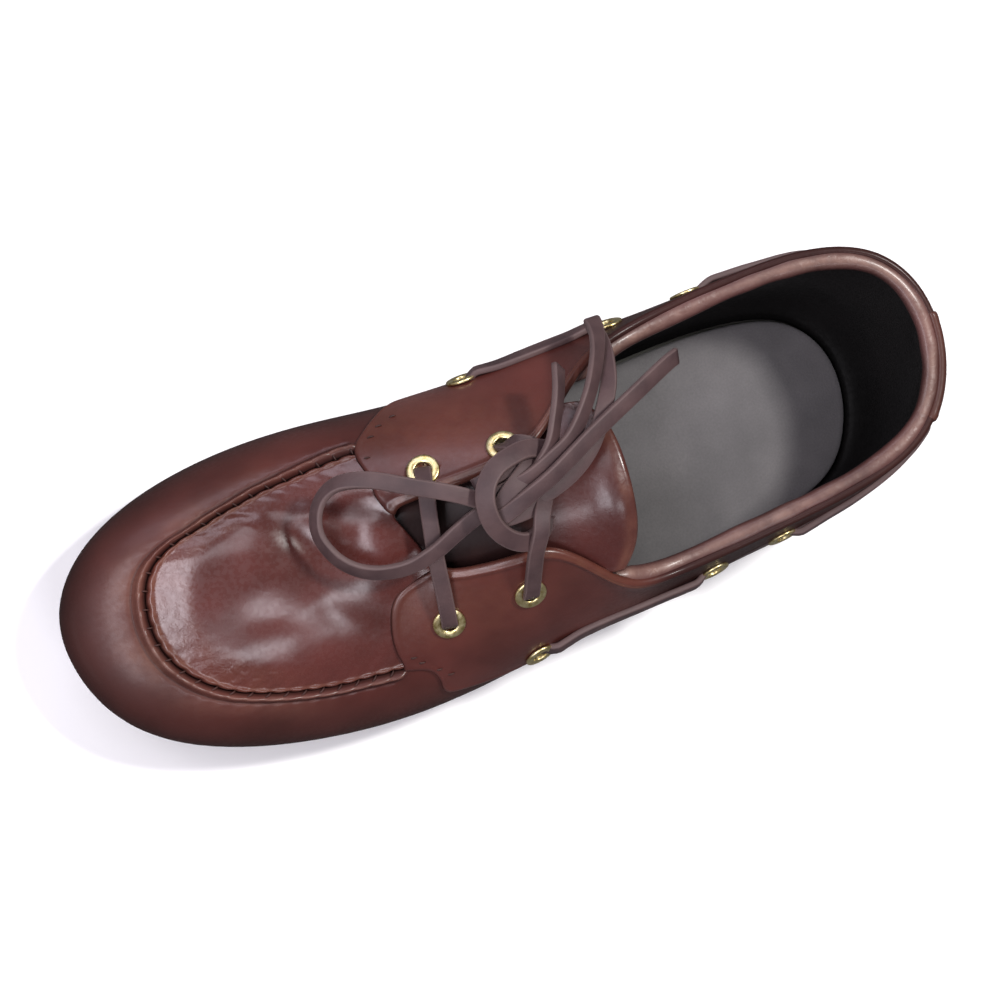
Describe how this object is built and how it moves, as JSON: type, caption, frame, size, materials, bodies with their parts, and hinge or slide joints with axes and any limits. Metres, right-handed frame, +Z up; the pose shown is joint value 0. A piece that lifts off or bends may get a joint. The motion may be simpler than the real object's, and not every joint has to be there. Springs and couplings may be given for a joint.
{
  "type": "boat shoe",
  "caption": "Left boat shoe: hand-sewn moccasin upper with laced facings, a lace run round the padded collar and a flat rubber outsole.",
  "frame": {"origin": "on the floor under the middle of the heel seat, 32 mm forward of the back of the heel", "axes": "+X towards the toe, +Y towards the outer side of the foot, +Z up; the shoe stands on z = 0"},
  "size_m": [0.2707, 0.1002, 0.083],
  "materials": {
    "upper_leather": "smooth oiled oxblood leather with a soft sheen, burnished tan on the ridges",
    "collar_leather": "soft padded oxblood leather roll with a black lining behind it",
    "outsole_rubber": "matt dark grey moulded rubber with fine cut sipes",
    "insole_footbed": "matt grey footbed cover",
    "eyelet_brass": "polished pale brass",
    "lace_rawhide": "flat cut rawhide lace, waxed, brown"
  },
  "bodies": {
    "root": {"outsole": "outsole_rubber", "insole": "insole_footbed", "upper": "upper_leather", "tongue": "upper_leather", "collar_roll": "collar_leather", "eyelet_facing_front_outer": "eyelet_brass", "eyelet_facing_rear_outer": "eyelet_brass", "eyelet_facing_front_inner": "eyelet_brass", "eyelet_facing_rear_inner": "eyelet_brass", "eyelet_side_a_outer": "eyelet_brass", "eyelet_side_b_outer": "eyelet_brass", "eyelet_side_c_outer": "eyelet_brass", "eyelet_side_d_outer": "eyelet_brass", "eyelet_side_a_inner": "eyelet_brass", "eyelet_side_b_inner": "eyelet_brass", "eyelet_side_c_inner": "eyelet_brass", "eyelet_side_d_inner": "eyelet_brass", "lace_front_bar": "lace_rawhide", "lace_rear_bar": "lace_rawhide", "lace_side_front_outer": "lace_rawhide", "lace_side_rear_outer": "lace_rawhide", "lace_side_front_inner": "lace_rawhide", "lace_side_rear_inner": "lace_rawhide", "lace_knot": "lace_rawhide", "lace_loop_front": "lace_rawhide", "lace_loop_rear": "lace_rawhide", "lace_end": "lace_rawhide", "lace_end_short": "lace_rawhide"}
  },
  "joints": []
}
